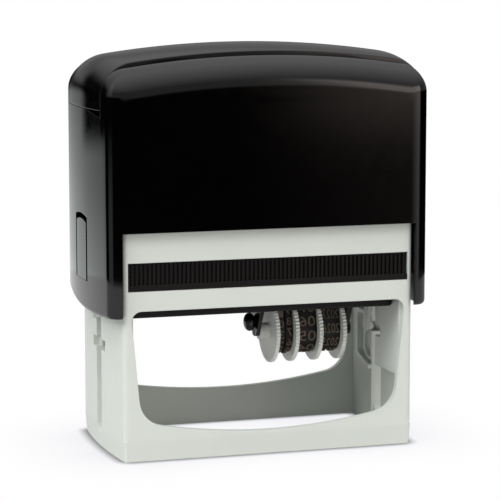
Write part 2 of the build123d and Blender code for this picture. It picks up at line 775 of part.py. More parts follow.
# Cap
cap_edge_y = cap_half_d - cap_gap
cap_flat_y = cap_edge_y - cap_bevel
cap_loft_z = cap_low_z - cap_corner_r / 2
cap_edge_z = cap_top_z - cap_crown * (cap_flat_y / cap_half_d) ** 2
cap_depths = [end_step * step for step in range(end_steps)] + [cap_flat_y]
with BuildPart() as top_cap:
    for y in [-depth for depth in reversed(cap_depths[1:])] + cap_depths:
        crown_z = cap_top_z - cap_crown * (y / cap_half_d) ** 2
        with BuildSketch(Plane.XZ.offset(-y)):
            arch_outline(bowed_half_width(y), crown_z, cap_corner_r, cap_loft_z)
    loft(ruled=True)
    for side in (-1, 1):
        for y, inset in ((cap_flat_y, 0.0), (cap_edge_y, cap_bevel)):
            with BuildSketch(Plane.XZ.offset(-side * y)):
                half_w = bowed_half_width(cap_flat_y, inset)
                arch_outline(half_w, cap_edge_z - inset, cap_corner_r - inset, cap_loft_z)
        loft(ruled=True)
    split(bisect_by=Plane.XY.offset(cap_low_z), keep=Keep.TOP)
    with BuildSketch(Plane.XZ):
        arch_outline(seat_half_w + cap_fit, seat_top_z + cap_fit, seat_corner_r, cap_loft_z)
    extrude(amount=cap_half_d, both=True, mode=Mode.SUBTRACT)
top_cap.part.label = "top_cap"

# Yoke
yoke_top_z = cover_top_z - cover_top_wall - yoke_fit
with BuildPart() as yoke:
    with BuildSketch(Plane.XZ):
        arch_outline(yoke_half_w, yoke_top_z, yoke_outer_r, pivot_z - yoke_below_pin)
        inner_r = yoke_outer_r - yoke_arm_t
        inner_top_z = yoke_top_z - yoke_bar_t
        arch_outline(yoke_arm_x, inner_top_z, inner_r, pivot_z - yoke_below_pin, Mode.SUBTRACT)
    extrude(amount=yoke_half_d, both=True)
    with BuildSketch(Plane.YZ):
        with BuildLine():
            Polyline(
                (-yoke_foot_half_d, pivot_z),
                (-yoke_half_d, panel_low_z),
                (-yoke_half_d, cover_top_z),
                (yoke_half_d, cover_top_z),
                (yoke_half_d, panel_low_z),
                (yoke_foot_half_d, pivot_z),
            )
            foot_low = (0, pivot_z - yoke_below_pin)
            ThreePointArc((yoke_foot_half_d, pivot_z), foot_low, (-yoke_foot_half_d, pivot_z))
        make_face()
        with Locations((0, pivot_z)):
            Circle(collar_r + running_fit / 2, mode=Mode.SUBTRACT)
    extrude(amount=base_w, both=True, mode=Mode.INTERSECT)
    with BuildSketch(Plane.XY.offset(spring_top_z)):
        Circle(spring_stub_r)
    extrude(amount=-spring_stub_h)
    chamfer(yoke.faces().filter_by(GeomType.PLANE).filter_by(Axis.Z).sort_by_distance(
        (0, 0, spring_top_z - spring_stub_h))[0].edges(), spring_stub_chamfer)
yoke.part.label = "yoke"

# Return spring: half turns whose planes lean with the climb, so that they join smoothly
with BuildPart() as return_spring:
    low_z = spring_seat_z + spring_wire_r + spring_end_gap
    climb = (spring_top_z - spring_wire_r - spring_end_gap - low_z) / (2 * spring_turns)
    with BuildLine() as coil:
        for half_turn in range(2 * spring_turns):
            side = 1 if half_turn % 2 == 0 else -1
            start_z = low_z + climb * half_turn
            bulge = math.hypot(spring_coil_r, climb / 2)
            ThreePointArc(
                (side * spring_coil_r, 0, start_z),
                (0, side * bulge, start_z + climb / 2),
                (-side * spring_coil_r, 0, start_z + climb),
            )
    with BuildSketch(Plane(origin=coil.line @ 0, z_dir=coil.line % 0)):
        RegularPolygon(spring_wire_r, spring_wire_sides)
    sweep()
return_spring.part.label = "return_spring"
print("Least gap between turns of the spring", round(2 * climb - 2 * spring_wire_r, 2), "mm")

os.makedirs("parts", exist_ok=True)
pieces = [
    base_frame, pad_tray, ink_felt, return_spring, cover_shell, top_cap, yoke, lock_tongue_left,
    lock_tongue_right, platen, cam_lever_left, cam_lever_right, pivot_pin_left, pivot_pin_right,
    plate_cushion, text_plate, date_bracket, wheel_axle, *wheels, *bands,
]
for piece in pieces:
    export_step(piece.part, f"parts/{piece.part.label}.step")
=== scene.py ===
"""Looks of the self-inking date stamp, in metres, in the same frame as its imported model."""

import math

import bmesh
import bpy
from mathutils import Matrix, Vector


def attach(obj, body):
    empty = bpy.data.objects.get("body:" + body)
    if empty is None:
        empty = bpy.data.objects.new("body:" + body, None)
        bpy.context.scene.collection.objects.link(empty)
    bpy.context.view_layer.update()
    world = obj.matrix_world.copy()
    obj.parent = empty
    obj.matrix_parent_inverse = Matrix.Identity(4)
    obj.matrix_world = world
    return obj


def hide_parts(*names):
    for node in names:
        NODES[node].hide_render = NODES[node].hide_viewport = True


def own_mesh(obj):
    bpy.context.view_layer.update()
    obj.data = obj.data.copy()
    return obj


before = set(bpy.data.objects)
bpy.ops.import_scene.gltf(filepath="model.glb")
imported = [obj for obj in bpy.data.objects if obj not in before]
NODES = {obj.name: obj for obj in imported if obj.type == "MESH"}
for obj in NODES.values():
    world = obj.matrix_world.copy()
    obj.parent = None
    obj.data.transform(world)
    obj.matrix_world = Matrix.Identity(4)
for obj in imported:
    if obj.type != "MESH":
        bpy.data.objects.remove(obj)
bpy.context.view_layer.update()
MM = 0.001
ENDS = ((-1, "left"), (1, "right"))
bpy.context.scene.view_settings.view_transform = "Standard"

# Camera, fitted to the frame's and the cover's edges in the photograph: places in metres, lens in millimetres
CAMERA_AT = (-0.2042, -0.6552, 0.1514)
LOOK_AT = (0.001493, 0.0, 0.05814)
LENS = 162.5
SENSOR_W = 36.0
CLIP_NEAR = 0.01
CLIP_FAR = 20.0

# Sizes of the cover in millimetres, as in the part's source
COVER_HALF_D = 27.0
COVER_HALF_W = 51.6
COVER_BOW = 2.5
COVER_WALL = 1.7
COVER_TOP_Z = 119.05
COVER_TOP_WALL = 2.4
COVER_CORNER_R = 8.5
COVER_LEAST_R = 2.2
ARCH_R = 290.0
TOP_ROLL_D = 7.0
TOP_ROLL_H = 9.4
SIDE_ROLL_D = 3.3
SIDE_ROLL_W = 5.6
WING_FRONT_Z = 43.0
WING_LOW_Y = -4.0
WING_LOW_Z = 42.6
WING_REAR_Z = 46.5
WING_FRONT_R = 1.6
WING_REAR_R = 9.0
WING_EDGE_X = 45.5
PANEL_LOW_Z = 68.0
SKIRT_CEILING_Z = 97.5
UPPER_HOLLOW_HALF_W = 48.05
BOW_R = (COVER_HALF_D**2 + COVER_BOW**2) / (2 * COVER_BOW)

# Round of the cover's lower outer edge, which stands clear of the outline that trims it
UNDER_R = 1.5
UNDER_TRIM = 0.02

# Cap, and the seat that it covers, as in the part's source
CAP_HALF_D = 20.0
CAP_GAP = 0.3
CAP_BEVEL = 0.5
CAP_TOP_Z = 122.0
CAP_CROWN = 1.8
CAP_CORNER_R = 11.0
CAP_LOW_Z = 103.4
CAP_PARTING = 0.2
PRY_START_Y = 7.0
PRY_DROP = 2.0
SEAT_HALF_W = 49.2
SEAT_DROP = 0.6
CAP_FIT = 0.05

# Lock tongues and their openings; a tongue is thinned at both sides, and thinner still at its root
TONGUE_HALF_D = 6.4
TONGUE_LOW_Z = 51.9
TONGUE_TOP_Z = 69.2
TONGUE_ARCH = 0.9
TONGUE_SLOT = 0.75
TONGUE_ROOT_GAP = 0.08
TONGUE_TOP_GAP = 1.6
TONGUE_THINNED = 0.6
TONGUE_INNER_X = 50.05
TONGUE_ROOT_INNER_X = 50.9
TONGUE_ROOT_TOP_Z = 52.2

# Dark rib and liner behind each tongue, painted shade for the dark seen through its opening: distances from
# the middle, depths and heights
SHADE_SHEET_TOP_Z = 76.0
SHADE_RIB_X = (48.1, 49.8)
SHADE_RIB_Y = (7.9, 8.9)
SHADE_RIB_LOW_Z = 53.0
SHADE_SHEET_X = (47.88, 47.98)
SHADE_SHEET_Y = (-9.0, 7.9)
SHADE_SHEET_LOW_Z = 50.0

# Webs that close the notches in the frame's end walls, beside the pin's way
WEB_X = {"left": 44.2, "right": 45.4}
WEB_T = 0.6
WEB_D = 4.2
WEB_FRONT_Y = {"front": -7.15, "rear": 2.95}
WEB_Z = (30.0, 33.6)

# Date bracket: arms, bridge and knob, and the hub of the first wheel
AXLE_Z = 32.75
ARM_FOOT = (1.6, 31.55)
ARM_SHOULDER = (8.0, 41.9)
ARM_TOP = (5.6, 46.6)
ARM_LEFT_X = (2.8, 4.0)
ARM_RIGHT_X = (31.0, 32.7)
BRIDGE_LOW = (3.9, -2.4, 44.8)
BRIDGE_HIGH = (31.1, 2.4, 48.4)
KNOB_X = 1.25
KNOB_HALF_W = 1.75
KNOB_R = 2.85
KNOB_LEAST_R = 0.4
KNOB_NECK_X = (2.6, 3.0)
KNOB_NECK_R = 1.5
KNOB_Z = 35.8
HUB_X = (4.1, 7.12)
HUB_R = 2.6
HUB_BEVEL = 0.2

# Return spring, with a closed turn at each end
SPRING_LOW_Z = 62.75
SPRING_TOP_Z = 112.5
SPRING_TURNS = 8
SPRING_COIL_R = 7.5
SPRING_WIRE_R = 0.65
SPRING_CLOSED_RISE = 1.4

# Felt and foam: half width, half depth, lowest and highest height, and the rounds of corners and edges
FELT_SIZE = (40.0, 20.4, 53.0, 57.4)
FELT_EDGE_R = 0.5
FOAM_SIZE = (37.8, 18.3, 46.8, 48.3)
FOAM_EDGE_R = 0.3
PAD_CORNER_R = 1.0
DATE_OPENING_LOW = (4.4, -4.5, 45.0)
DATE_OPENING_HIGH = (31.1, 4.5, 50.0)

# Raised figures on the bands: where a row's middle is, its width and height, the rows' pitch, the first row's
# place along the band, and the words
BAND_R = 6.9
FLANK_TURN = math.radians(102.6)
FIGURE_LIFT = 0.35
FIGURE_ROOT = -0.1
FIGURES = {
    "day_tens_figures": (9.5, 1.6, 2.3, 3.3, 0.6, ["0", "1", "2", "3", "0", "1", "2"]),
    "day_units_figures": (12.05, 1.6, 2.3, 3.3, 1.4, ["4", "5", "6", "7", "8", "9"]),
    "month_figures": (17.9, 5.2, 3.1, 4.4, 1.1, ["03", "04", "05", "06", "07"]),
    "year_figures": (25.55, 5.5, 2.9, 4.4, 3.0, ["2024", "2025", "2026", "2027"]),
}

# How far the shapes that cut reach past what they cut
CUT_OVER = 1.0
CUT_BESIDE_X = 60.0
CUT_BEYOND_Y = 30.0
CUT_ABOVE_Z = 130.0
CUT_BELOW_Z = 38.0
HOLLOW_BELOW = 2.0
CAP_UNDER_BELOW = 5.0
TONGUE_CUT_X = 40.0
TONGUE_CUT_Y = (-10.0, 10.0)
TONGUE_CUT_Z = (45.0, 80.0)

# How finely the shapes are divided
END_STEP = 1.25
ROLL_STEPS = 32
HOLLOW_ROLL_STEPS = 8
CORNER_STEPS = 16
ARCH_STEPS = 48
SIDE_STEPS = 5
UNDER_STEPS = 6
WING_ROUND_STEPS = 16
WING_EDGE_YS = range(-22, 15, 4)
TONGUE_STEPS = 12
CAP_BEVEL_STEPS = 6
CAP_STEPS = 16
TURNED_STEPS = 40
KNOB_STEPS = 16
KNOB_STEPS_SEEN = 14
SPRING_STEPS = 32
SPRING_SIDES = 10
PAD_CORNER_STEPS = 8
PAD_EDGE_TURNS = (0.0, 0.4, 0.8, 1.2, math.pi / 2)

# Noise of the materials: how fine it is, how deep its bumps are in metres, and where most of its values lie
SLOW_SCALE = 60.0
UNEVEN_SCALE = 350.0
WAVE_SCALE = 45.0
WAVE_DEPTH = 0.001
GRAIN_DEPTH = 0.0001
NOISE_LOW = 0.3
NOISE_HIGH = 0.7
EDGE_SAMPLES = 4

# Floor, in metres: a narrow shade where the object stands and a wide soft one, each with its reach and depth
FLOOR_R = 0.36
FLOOR_SIDES = 96
FLOOR_COLOR = (0.6, 0.6, 0.6, 1.0)
CONTACT_SHADE = (0.0035, 0.75)
WIDE_SHADE = (0.035, 0.14)
SHADE_COLOR = (0.0, 0.0, 0.25, 1.0)
SHADE_FULL = 0.45
SHADE_SAMPLES = 16

# Room that lights the object and shows in its gloss: pale above, dark low down and in the rear left corner.
# Each part of the sky has the two shares of a direction between which it changes, then its two brightnesses.
WHITE = (1.0, 1.0, 1.0, 1.0)
SKY_RISE = (0.3, 0.95, 0.33, 1.75)
SKY_HORIZON = (-0.03, 0.10, 0.0, 1.0)
SKY_BEHIND = (-0.1, 0.5, 1.0, 0.68)
DARK_AZIMUTH = (-168.0, -160.0, -128.0, -112.0)
DARK_HEIGHT = (10.0, 24.0)
DARK_DEPTH = 0.95

# Pale panels of the room that show in the gloss: azimuth from the front to the right and height, each as the
# start and end of its soft edges in degrees, then colour
PANELS = [
    ((16.5, 25.0, 57.0, 63.0), (-60.0, -40.0, 17.0, 24.0), (0.11, 0.09, 0.085)),
    ((16.8, 22.5, 57.0, 63.0), (-5.6, -3.0, 17.0, 24.0), (0.62, 0.53, 0.48)),
    ((18.5, 23.0, 57.0, 63.0), (2.0, 6.0, 15.0, 20.0), (1.2, 1.15, 1.1)),
    ((23.0, 53.0, 57.0, 63.0), (-60.0, -40.0, 17.0, 24.0), (0.6, 0.6, 0.58)),
    ((-92.0, -84.0, -58.0, -50.0), (-40.0, -20.0, -7.5, -4.0), (0.5, 0.5, 0.5)),
    ((-92.0, -84.0, -58.0, -50.0), (3.0, 10.0, 40.0, 60.0), (0.45, 0.45, 0.45)),
    ((-200.0, -190.0, -167.0, -160.0), (-60.0, -40.0, -11.0, 0.5), (1.0, 1.05, 1.03)),
    ((150.0, 165.0, 181.0, 182.0), (-60.0, -40.0, -11.0, 0.5), (1.0, 1.05, 1.03)),
    ((-167.0, -160.0, -150.0, -144.0), (-60.0, -40.0, -5.4, -4.6), (0.51, 0.54, 0.53)),
    ((-167.0, -160.0, -146.0, -132.0), (-60.0, -40.0, -9.0, -5.6), (0.5, 0.53, 0.52)),
]

# Lamps: place in metres and power in watts; both are square and point at the same place
LAMPS = {
    "high_front_softbox": ((-0.4, -0.62, 0.95), 4.2),
    "left_softbox": ((-0.95, -0.25, 0.65), 4.4),
}
LAMP_AIM = (0.0, 0.0, 0.05)
LAMP_SIZE = 0.5


def point_at(item, place, aim):
    item.location = place
    item.rotation_euler = (Vector(aim) - Vector(place)).to_track_quat("-Z", "Y").to_euler()


def set_camera():
    data = bpy.data.cameras.new("camera")
    data.lens = LENS
    data.sensor_width = SENSOR_W
    data.sensor_fit = "HORIZONTAL"
    data.clip_start = CLIP_NEAR
    data.clip_end = CLIP_FAR
    camera = bpy.data.objects.new("camera", data)
    bpy.context.collection.objects.link(camera)
    point_at(camera, CAMERA_AT, LOOK_AT)
    bpy.context.scene.camera = camera


# Small helpers for node trees
class Tree:
    """Adds nodes to a material's or the world's tree and links them."""

    def __init__(self, tree):
        self.tree = tree
        tree.nodes.clear()

    def add(self, kind, **values):
        node = self.tree.nodes.new(kind)
        for key, value in values.items():
            setattr(node, key, value)
        return node

    def link(self, out, into):
        self.tree.links.new(out, into)

    def put(self, into, value):
        """Links an output into a socket, or sets the socket's own value."""
        if isinstance(value, bpy.types.NodeSocket):
            self.link(value, into)
        else:
            into.default_value = value

    def math(self, operation, a, b=0.0):
        node = self.add("ShaderNodeMath", operation=operation)
        self.put(node.inputs[0], a)
        self.put(node.inputs[1], b)
        return node.outputs[0]

    def noise(self, vector, scale, detail=2.0, roughness=0.5):
        node = self.add("ShaderNodeTexNoise")
        self.link(vector, node.inputs["Vector"])
        node.inputs["Scale"].default_value = scale
        node.inputs["Detail"].default_value = detail
        node.inputs["Roughness"].default_value = roughness
        return node.outputs["Fac"]

    def ramp(self, value, low, high, from_v, to_v, smooth=False):
        """Maps a value from low..high onto from_v..to_v, held at its ends."""
        node = self.add("ShaderNodeMapRange")
        node.clamp = True
        if smooth:
            node.interpolation_type = "SMOOTHSTEP"
        self.link(value, node.inputs["Value"])
        node.inputs["From Min"].default_value = low
        node.inputs["From Max"].default_value = high
        node.inputs["To Min"].default_value = from_v
        node.inputs["To Max"].default_value = to_v
        return node.outputs[0]

    def window(self, angle, edges):
        """1 between soft edges and 0 outside: where it starts and ends to rise, then to fall, in degrees."""
        rise_from, rise_to, fall_from, fall_to = [math.radians(edge) for edge in edges]
        rise = self.ramp(angle, rise_from, rise_to, 0.0, 1.0, True)
        fall = self.ramp(angle, fall_from, fall_to, 1.0, 0.0, True)
        return self.math("MULTIPLY", rise, fall)

    def mix(self, factor, a, b, blend="MIX"):
        """Mixes two colours, whose sockets are the mix node's seventh and eighth."""
        node = self.add("ShaderNodeMix", data_type="RGBA", blend_type=blend)
        self.put(node.inputs[0], factor)
        self.put(node.inputs[6], a)
        self.put(node.inputs[7], b)
        return node.outputs[2]

    def pick(self, factor, a, b):
        """Mixes two shaders."""
        node = self.add("ShaderNodeMixShader")
        self.link(factor, node.inputs[0])
        self.link(a, node.inputs[1])
        self.link(b, node.inputs[2])
        return node.outputs[0]

    def seen(self):
        """1 for what the camera sees, straight or through something clear."""
        path = self.add("ShaderNodeLightPath")
        return self.math("MAXIMUM", path.outputs["Is Camera Ray"], path.outputs["Is Transmission Ray"])

    def bump(self, height, strength, distance, normal=None):
        node = self.add("ShaderNodeBump")
        node.inputs["Strength"].default_value = strength
        node.inputs["Distance"].default_value = distance
        self.link(height, node.inputs["Height"])
        if normal:
            self.link(normal, node.inputs["Normal"])
        return node.outputs[0]


def rgba(color, factor=1.0):
    return (color[0] * factor, color[1] * factor, color[2] * factor, 1.0)


def moulded(name, color, rough, grain=0.0, grain_scale=6000.0, wave=0.0, mottle=0.05, specular=0.5,
            rough_spread=0.06, edge=0.0, metal=0.0):
    """Moulded plastic, rubber or the like: fine grain, slow waviness, slight drift of colour and gloss."""
    material = bpy.data.materials.new(name)
    material.use_nodes = True
    t = Tree(material.node_tree)
    out = t.add("ShaderNodeOutputMaterial")
    shader = t.add("ShaderNodeBsdfPrincipled")
    t.link(shader.outputs[0], out.inputs[0])
    place = t.add("ShaderNodeTexCoord").outputs["Object"]
    slow = t.ramp(t.noise(place, SLOW_SCALE, 3.0), NOISE_LOW, NOISE_HIGH, 0.0, 1.0)
    t.link(t.mix(slow, rgba(color, 1.0 - mottle), rgba(color, 1.0 + mottle)), shader.inputs["Base Color"])
    uneven = t.noise(place, UNEVEN_SCALE, 4.0, 0.6)
    gloss = t.ramp(uneven, NOISE_LOW, NOISE_HIGH, rough - rough_spread, rough + rough_spread)
    t.link(gloss, shader.inputs["Roughness"])
    shader.inputs["Specular IOR Level"].default_value = specular
    shader.inputs["Metallic"].default_value = metal
    normal = None
    if edge:
        round_off = t.add("ShaderNodeBevel", samples=EDGE_SAMPLES)
        round_off.inputs["Radius"].default_value = edge
        normal = round_off.outputs[0]
    if wave:
        normal = t.bump(t.noise(place, WAVE_SCALE, 1.0), wave, WAVE_DEPTH, normal)
    if grain:
        normal = t.bump(t.noise(place, grain_scale, 2.0, 0.6), grain, GRAIN_DEPTH, normal)
    if normal:
        t.link(normal, shader.inputs["Normal"])
    return material


# Materials: colour and roughness first; the radius of the rounded edges is in metres
SILVER = moulded("silver_plastic", (0.62, 0.653, 0.61), 0.42, grain=0.25, grain_scale=5000.0, mottle=0.015,
                 edge=0.00035)
GLOSS = moulded("gloss_black", (0.0007, 0.0006, 0.0006), 0.07, wave=0.008, mottle=0.1, rough_spread=0.02,
                edge=0.0002)
SATIN = moulded("satin_black", (0.0025, 0.0017, 0.0015), 0.36, grain=0.2, mottle=0.1, specular=0.22,
                edge=0.0002)
WHEEL = moulded("wheel_plastic", (0.8, 0.81, 0.77), 0.4, grain=0.15, mottle=0.04, edge=0.00012)
SHINE = moulded("polished_black", (0.003, 0.0026, 0.0024), 0.2, wave=0.01, mottle=0.1, rough_spread=0.04,
                edge=0.0002)
BAND = moulded("band_rubber", (0.006, 0.005, 0.0045), 0.5, grain=0.3, grain_scale=3500.0, mottle=0.2,
               specular=0.25)
FIGURE = moulded("worn_figures", (0.12, 0.095, 0.07), 0.55, grain=0.3, grain_scale=3500.0, mottle=0.25,
                 specular=0.3)
STEEL = moulded("spring_steel", (0.55, 0.55, 0.56), 0.28, mottle=0.05, metal=1.0)
FELT = moulded("ink_felt", (0.008, 0.008, 0.012), 0.85, grain=1.0, grain_scale=2500.0, mottle=0.3)
FOAM = moulded("foam", (0.12, 0.12, 0.12), 0.8, grain=0.6, grain_scale=2500.0)
PLATE = moulded("plate_rubber", (0.32, 0.06, 0.05), 0.5, grain=0.2)

DRESS = {
    SILVER: ["base_frame", "cam_lever_left", "cam_lever_right", "yoke", "pivot_pin_left", "pivot_pin_right"],
    GLOSS: ["cover_shell", "top_cap", "lock_tongue_left", "lock_tongue_right"],
    SATIN: ["pad_tray", "platen", "date_bracket", "wheel_axle"],
    WHEEL: ["day_tens_wheel", "day_units_wheel", "month_wheel", "year_wheel"],
    BAND: ["day_tens_band", "day_units_band", "month_band", "year_band"],
    STEEL: ["return_spring"],
    FELT: ["ink_felt"],
    FOAM: ["plate_cushion"],
    PLATE: ["text_plate"],
}


def dress_nodes():
    for material, names in DRESS.items():
        for name in names:
            data = NODES[name].data
            data.materials.clear()
            data.materials.append(material)


# Mesh helpers, which take millimetres
def new_piece(name, points, faces):
    mesh = bpy.data.meshes.new(name)
    mesh.from_pydata([Vector(p) * MM for p in points], [], faces)
    shape = bmesh.new()
    shape.from_mesh(mesh)
    bmesh.ops.recalc_face_normals(shape, faces=shape.faces)
    shape.to_mesh(mesh)
    shape.free()
    piece = bpy.data.objects.new(name, mesh)
    bpy.context.collection.objects.link(piece)
    return piece


def skin(name, rings):
    """Joins closed rings of equal length into a solid with flat ends."""
    count = len(rings[0])
    points = [p for ring in rings for p in ring]
    faces = [list(range(count)), list(range((len(rings) - 1) * count, len(rings) * count))]
    for r in range(len(rings) - 1):
        for i in range(count):
            j = (i + 1) % count
            a = r * count
            faces.append([a + i, a + j, a + count + j, a + count + i])
    return new_piece(name, points, faces)


def prism_x(name, outline, x0, x1):
    """A prism of an outline in depth and height, from x0 to x1."""
    return skin(name, [[(x, y, z) for y, z in outline] for x in (x0, x1)])


def through_x(name, outline):
    """A prism of an outline in depth and height that passes both ends."""
    return prism_x(name, outline, -CUT_BESIDE_X, CUT_BESIDE_X)


def box_piece(name, low, high):
    ring = [(low[0], low[2]), (high[0], low[2]), (high[0], high[2]), (low[0], high[2])]
    return skin(name, [[(x, y, z) for x, z in ring] for y in (low[1], high[1])])


def end_box(name, side, reach, depth, height):
    """A box at the left end (side -1) or the right one (1), from pairs of its reach, depth and height."""
    low_x, high_x = sorted((reach[0] * side, reach[1] * side))
    return box_piece(name, (low_x, depth[0], height[0]), (high_x, depth[1], height[1]))


def turned_x(name, profile, z):
    """A solid turned about a line along X at a height, from pairs of x and radius."""
    turns = [2 * math.pi * i / TURNED_STEPS for i in range(TURNED_STEPS)]
    return skin(name, [[(x, r * math.cos(a), z + r * math.sin(a)) for a in turns] for x, r in profile])


def join(name, pieces):
    """Makes one piece of several, which are then removed."""
    points = []
    faces = []
    for piece in pieces:
        start = len(points)
        points += [v.co / MM for v in piece.data.vertices]
        faces += [[start + i for i in face.vertices] for face in piece.data.polygons]
        bpy.data.objects.remove(piece)
    return new_piece(name, points, faces)


def carve(piece, cutter, operation="DIFFERENCE"):
    """Cuts a piece with another solid, which is then removed."""
    cut = piece.modifiers.new("cut", "BOOLEAN")
    cut.object = cutter
    cut.operation = operation
    cut.solver = "EXACT"
    bpy.context.view_layer.update()
    shape = bpy.data.meshes.new_from_object(piece.evaluated_get(bpy.context.evaluated_depsgraph_get()))
    piece.modifiers.clear()
    piece.data = shape
    bpy.data.objects.remove(cutter)


def finish_piece(piece, material, body, node=None, sharp=28.0):
    """Smooths a piece but for its edges, gives it its material and body, and lets it stand for a node."""
    piece.data.materials.clear()
    piece.data.materials.append(material)
    piece.data.shade_smooth()
    piece.data.set_sharp_from_angle(angle=math.radians(sharp))
    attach(piece, body)
    if node:
        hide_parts(node)
    return piece


# Cover and cap, from the same formulas as the part's source, finely divided
def bowed_half_width(y, inset=0.0):
    return COVER_HALF_W - inset - BOW_R + math.sqrt(BOW_R**2 - y**2)


def both_ways(depths):
    """Depths from the middle to the rear, mirrored to the front."""
    return [-depth for depth in reversed(depths[1:])] + depths


def roll(depth, edge_y, reach, drop):
    """How far a rolled edge has dropped at a depth, as a quarter of an ellipse."""
    into = min(1.0, max(0.0, (depth - edge_y + reach) / reach))
    return drop * (1 - math.sqrt(1 - into**2))


def arch_ring(y, half_w, top_z, corner_r, low_z, under_r=0.0):
    """A front view of the cover at depth y: straight sides, a round at each shoulder and a shallow arch."""
    arch_z = top_z - ARCH_R
    round_x = half_w - corner_r
    round_z = arch_z + math.sqrt((ARCH_R - corner_r) ** 2 - round_x**2)
    turn = math.atan2(round_z - arch_z, round_x)
    right = []
    if under_r:
        for i in range(UNDER_STEPS):
            a = math.pi / 2 * i / UNDER_STEPS
            right.append((half_w - under_r * (1 - math.sin(a)), low_z + under_r * (1 - math.cos(a))))
        low_z += under_r
    right += [(half_w, low_z + (round_z - low_z) * i / SIDE_STEPS) for i in range(SIDE_STEPS)]
    for i in range(CORNER_STEPS):
        a = turn * i / CORNER_STEPS
        right.append((round_x + corner_r * math.cos(a), round_z + corner_r * math.sin(a)))
    for i in range(ARCH_STEPS // 2):
        a = turn + (math.pi / 2 - turn) * i / (ARCH_STEPS // 2)
        right.append((ARCH_R * math.cos(a), arch_z + ARCH_R * math.sin(a)))
    left = [(-x, z) for x, z in reversed(right)]
    return [(x, y, z) for x, z in right + [(0.0, top_z)] + left]


def cover_block(name, wall, top_wall, half_width, low_z, under_r=0.0):
    """The cover's bulk, set in by its walls; half_width and low_z give its side and lower edge at a depth."""
    edge_y = COVER_HALF_D - wall
    roll_d = TOP_ROLL_D - wall
    depths = [END_STEP * i for i in range(int(CAP_HALF_D / END_STEP))]
    turns = [math.pi / 2 * i / ROLL_STEPS for i in range(ROLL_STEPS + 1)]
    depths += [edge_y - roll_d + roll_d * math.sin(a) for a in turns]
    rings = []
    for y in both_ways(depths):
        top_drop = roll(abs(y), edge_y, roll_d, TOP_ROLL_H - top_wall)
        side_drop = roll(abs(y), edge_y, SIDE_ROLL_D - wall, SIDE_ROLL_W - wall)
        corner_r = max(COVER_CORNER_R - wall - top_drop, COVER_LEAST_R)
        top_z = COVER_TOP_Z - top_wall - top_drop
        rings.append(arch_ring(y, half_width(y) - side_drop, top_z, corner_r, low_z(y), under_r))
    return skin(name, rings)


def wing_edge_z(y):
    """Height of the cover's lower edge, a curve through its front, lowest and rear points."""
    front_slope = (WING_LOW_Z - WING_FRONT_Z) / (WING_LOW_Y + COVER_HALF_D)
    whole_slope = (WING_REAR_Z - WING_FRONT_Z) / (2 * COVER_HALF_D)
    bend = (whole_slope - front_slope) / (COVER_HALF_D - WING_LOW_Y)
    return WING_FRONT_Z + (y + COVER_HALF_D) * (front_slope + bend * (y - WING_LOW_Y))


def outer_bulk(name):
    return cover_block(name, 0.0, 0.0, bowed_half_width, lambda y: wing_edge_z(y) + UNDER_TRIM, UNDER_R)


def skirt_hollow():
    """The room inside the skirt, up to its ceiling."""
    edge_y = COVER_HALF_D - COVER_WALL
    roll_d = SIDE_ROLL_D - COVER_WALL
    depths = [END_STEP * i for i in range(int((edge_y - roll_d) / END_STEP) + 1)]
    turns = [math.pi / 2 * i / HOLLOW_ROLL_STEPS for i in range(1, HOLLOW_ROLL_STEPS + 1)]
    depths += [edge_y - roll_d + roll_d * math.sin(a) for a in turns]
    plan = []
    for y in both_ways(depths):
        drop = roll(abs(y), edge_y, roll_d, SIDE_ROLL_W - COVER_WALL)
        plan.append((bowed_half_width(y, COVER_WALL) - drop, y))
    plan += [(-x, y) for x, y in reversed(plan)]
    heights = (WING_LOW_Z - HOLLOW_BELOW, SKIRT_CEILING_Z)
    return skin("skirt_hollow", [[(x, y, z) for x, y in plan] for z in heights])


def upper_hollow():
    """The room above the skirt's ceiling."""
    return cover_block("upper_hollow", COVER_WALL, COVER_TOP_WALL, lambda y: UPPER_HOLLOW_HALF_W,
                       lambda y: SKIRT_CEILING_Z - CUT_OVER)


def wing_round(corner, r):
    """A round of the lower edge in front (corner -1) or behind (1), from outside, and its centre's height."""
    mid_y = corner * (COVER_HALF_D - r)
    # The edge's slope there, from its rise over one millimetre
    slope = math.atan(wing_edge_z(mid_y + 0.5) - wing_edge_z(mid_y - 0.5))
    mid_z = wing_edge_z(mid_y + r * math.sin(slope)) + r * math.cos(slope)
    arc = []
    for i in range(WING_ROUND_STEPS + 1):
        turn = (math.pi / 2 - corner * slope) * i / WING_ROUND_STEPS
        arc.append((mid_y + corner * r * math.cos(turn), mid_z - r * math.sin(turn)))
    return arc, mid_z


def wing_outline():
    """The cover's side view: a curved lower edge, with a small round in front and a large one behind."""
    front_arc, _ = wing_round(-1, WING_FRONT_R)
    rear_arc, rear_z = wing_round(1, WING_REAR_R)
    lower_edge = [(y, wing_edge_z(y)) for y in WING_EDGE_YS]
    out_y = COVER_HALF_D + CUT_OVER
    front_z = WING_FRONT_Z + WING_FRONT_R
    above = [(out_y, rear_z), (out_y, CUT_ABOVE_Z), (-out_y, CUT_ABOVE_Z), (-out_y, front_z)]
    return front_arc + lower_edge + rear_arc[::-1] + above


def tongue_outline(half_d, low_z, top_z):
    """A lock tongue's side view, with a slightly arched top."""
    points = [(half_d, low_z), (-half_d, low_z)]
    for i in range(TONGUE_STEPS + 1):
        u = -1 + 2 * i / TONGUE_STEPS
        points.append((u * half_d, top_z + TONGUE_ARCH * (1 - u**2)))
    return points


def across_cap(name, half_w, drop, low_z):
    """A block under the cap, in the cover's front view."""
    rings = []
    for y in (-CAP_HALF_D - CUT_OVER, CAP_HALF_D + CUT_OVER):
        rings.append(arch_ring(y, half_w, COVER_TOP_Z - drop, COVER_CORNER_R - SEAT_DROP, low_z))
    return skin(name, rings)


